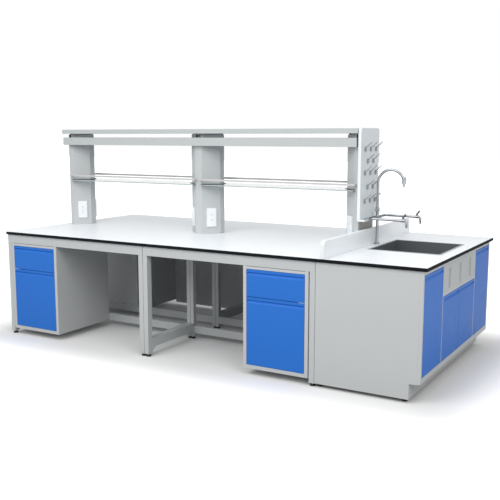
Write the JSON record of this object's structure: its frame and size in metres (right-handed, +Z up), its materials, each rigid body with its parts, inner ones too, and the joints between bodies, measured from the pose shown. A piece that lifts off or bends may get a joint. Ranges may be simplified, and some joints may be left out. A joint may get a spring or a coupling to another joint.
{
  "type": "lab bench with reagent shelf",
  "caption": "Double-sided laboratory bench on steel frames with hanging drawer pedestals, a reagent shelf on faceted service columns and a sink end with pegboard and gooseneck tap",
  "frame": {"origin": "on the floor below the middle of the worktop, which is the middle of the whole part seen from above", "axes": "+X runs along the bench towards the sink end, +Y from the front row with the open knee spaces to the back row, +Z up"},
  "size_m": [3.52, 1.63, 1.677],
  "materials": {
    "worktop": "satin solid resin slab, white",
    "edge_band": "black, satin",
    "frame_paint": "light grey powder coat",
    "foot_rubber": "black, matt",
    "zinc": "zinc-plated sheet",
    "casing_board": "board faced with warm grey melamine, satin",
    "front_blue": "board faced with blue melamine, satin",
    "drawer_board": "board faced with white melamine, satin",
    "unit_board": "board faced with light grey melamine, satin",
    "sink_resin": "dark grey resin, satin",
    "rim_resin": "grey resin, satin",
    "upstand_board": "pale grey resin, satin",
    "column_paint": "grey powder coat, fine texture",
    "cover_paint": "warm grey powder coat",
    "shelf_paint": "light grey powder coat",
    "glass": "clear float glass with a green edge",
    "clip_black": "black, satin",
    "rail_alu": "satin anodised",
    "outlet_white": "white, satin gloss",
    "pegboard": "pale grey polypropylene",
    "peg_grey": "grey polypropylene",
    "tap_chrome": "polished",
    "lever_grey": "dark grey, satin"
  },
  "bodies": {
    "bench": {"worktop_left": "worktop", "worktop_middle": "worktop", "worktop_sink": "worktop", "edge_bands": "edge_band", "outer_legs": "frame_paint", "inner_legs": "frame_paint", "side_rails": "frame_paint", "side_stretchers": "frame_paint", "apron_rails": "frame_paint", "inner_rails": "frame_paint", "levelling_feet": "foot_rubber", "hanger_bars": "zinc", "pedestal_left_casing": "casing_board", "pedestal_right_casing": "casing_board", "back_pedestal_left_casing": "casing_board", "back_pedestal_right_casing": "casing_board", "drawer_runners": "zinc", "door_pivots": "zinc", "back_cover_panels": "casing_board", "sink_unit_carcass": "unit_board", "sink_unit_face_frame": "unit_board", "louvre_panel": "unit_board", "sink_bowl": "sink_resin", "sink_rim": "rim_resin", "sink_drain": "tap_chrome", "upstand": "upstand_board", "column_left": "column_paint", "column_middle": "column_paint", "column_right": "column_paint", "column_end_covers": "cover_paint", "top_shelf": "shelf_paint", "shelf_beams": "shelf_paint", "glass_shelf_left": "glass", "glass_shelf_right": "glass", "glass_clips": "clip_black", "guard_rails": "rail_alu", "outlet_plates": "outlet_white", "pegboard": "pegboard", "drip_trough": "pegboard", "pegs": "peg_grey", "tap_body": "tap_chrome", "tap_arms": "tap_chrome"},
    "left_drawer": {"pedestal_left_drawer_front": "front_blue", "pedestal_left_drawer_box": "drawer_board"},
    "right_drawer": {"pedestal_right_drawer_front": "front_blue", "pedestal_right_drawer_box": "drawer_board"},
    "left_door": {"pedestal_left_door": "front_blue"},
    "right_door": {"pedestal_right_door": "front_blue"},
    "back_left_drawer": {"back_pedestal_left_drawer": "front_blue"},
    "back_right_drawer": {"back_pedestal_right_drawer": "front_blue"},
    "back_left_door": {"back_pedestal_left_door": "front_blue"},
    "back_right_door": {"back_pedestal_right_door": "front_blue"},
    "unit_door_1": {"sink_door_1": "front_blue"},
    "unit_door_2": {"sink_door_2": "front_blue"},
    "unit_door_3": {"sink_door_3": "front_blue"},
    "unit_door_4": {"sink_door_4": "front_blue"},
    "gooseneck": {"tap_gooseneck": "tap_chrome"},
    "lever_near": {"tap_lever_near": "lever_grey"},
    "lever_far": {"tap_lever_far": "lever_grey"},
    "knob": {"tap_knob": "lever_grey"}
  },
  "joints": [
    {"name": "left_drawer_slide", "type": "slide", "parent": "bench", "child": "left_drawer", "axis": [0, -1, 0], "range_m": [0, 0.4]},
    {"name": "right_drawer_slide", "type": "slide", "parent": "bench", "child": "right_drawer", "axis": [0, -1, 0], "range_m": [0, 0.4]},
    {"name": "back_left_drawer_slide", "type": "slide", "parent": "bench", "child": "back_left_drawer", "axis": [0, 1, 0], "range_m": [0, 0.4]},
    {"name": "back_right_drawer_slide", "type": "slide", "parent": "bench", "child": "back_right_drawer", "axis": [0, 1, 0], "range_m": [0, 0.4]},
    {"name": "left_door_hinge", "type": "hinge", "parent": "bench", "child": "left_door", "pos_m": [-1.6845, -0.7995, 0.312], "axis": [0, 0, -1], "range_deg": [0, 100]},
    {"name": "right_door_hinge", "type": "hinge", "parent": "bench", "child": "right_door", "pos_m": [0.9475, -0.7995, 0.312], "axis": [0, 0, 1], "range_deg": [0, 100]},
    {"name": "back_left_door_hinge", "type": "hinge", "parent": "bench", "child": "back_left_door", "pos_m": [-1.6845, 0.7995, 0.312], "axis": [0, 0, 1], "range_deg": [0, 100]},
    {"name": "back_right_door_hinge", "type": "hinge", "parent": "bench", "child": "back_right_door", "pos_m": [0.9475, 0.7995, 0.312], "axis": [0, 0, -1], "range_deg": [0, 100]},
    {"name": "unit_door_1_hinge", "type": "hinge", "parent": "bench", "child": "unit_door_1", "pos_m": [1.7325, -0.7775, 0.483], "axis": [0, 0, -1], "range_deg": [0, 100]},
    {"name": "unit_door_2_hinge", "type": "hinge", "parent": "bench", "child": "unit_door_2", "pos_m": [1.7325, -0.3795, 0.384], "axis": [0, 0, -1], "range_deg": [0, 100]},
    {"name": "unit_door_3_hinge", "type": "hinge", "parent": "bench", "child": "unit_door_3", "pos_m": [1.7325, 0.3795, 0.384], "axis": [0, 0, 1], "range_deg": [0, 100]},
    {"name": "unit_door_4_hinge", "type": "hinge", "parent": "bench", "child": "unit_door_4", "pos_m": [1.7325, 0.7775, 0.483], "axis": [0, 0, 1], "range_deg": [0, 100]},
    {"name": "gooseneck_swivel", "type": "hinge", "parent": "bench", "child": "gooseneck", "pos_m": [1.12, 0.02, 1.2], "axis": [0, 0, 1], "range_deg": [-50, 50]},
    {"name": "lever_near_turn", "type": "hinge", "parent": "bench", "child": "lever_near", "pos_m": [1.363, -0.128, 1.066], "axis": [0, 0, 1], "range_deg": [-90, 0]},
    {"name": "lever_far_turn", "type": "hinge", "parent": "bench", "child": "lever_far", "pos_m": [1.363, 0.168, 1.066], "axis": [0, 0, 1], "range_deg": [0, 90]},
    {"name": "knob_turn", "type": "hinge", "parent": "bench", "child": "knob", "pos_m": [1.12, -0.01, 1.1], "axis": [0, -1, 0], "range_deg": [0, 180]}
  ]
}
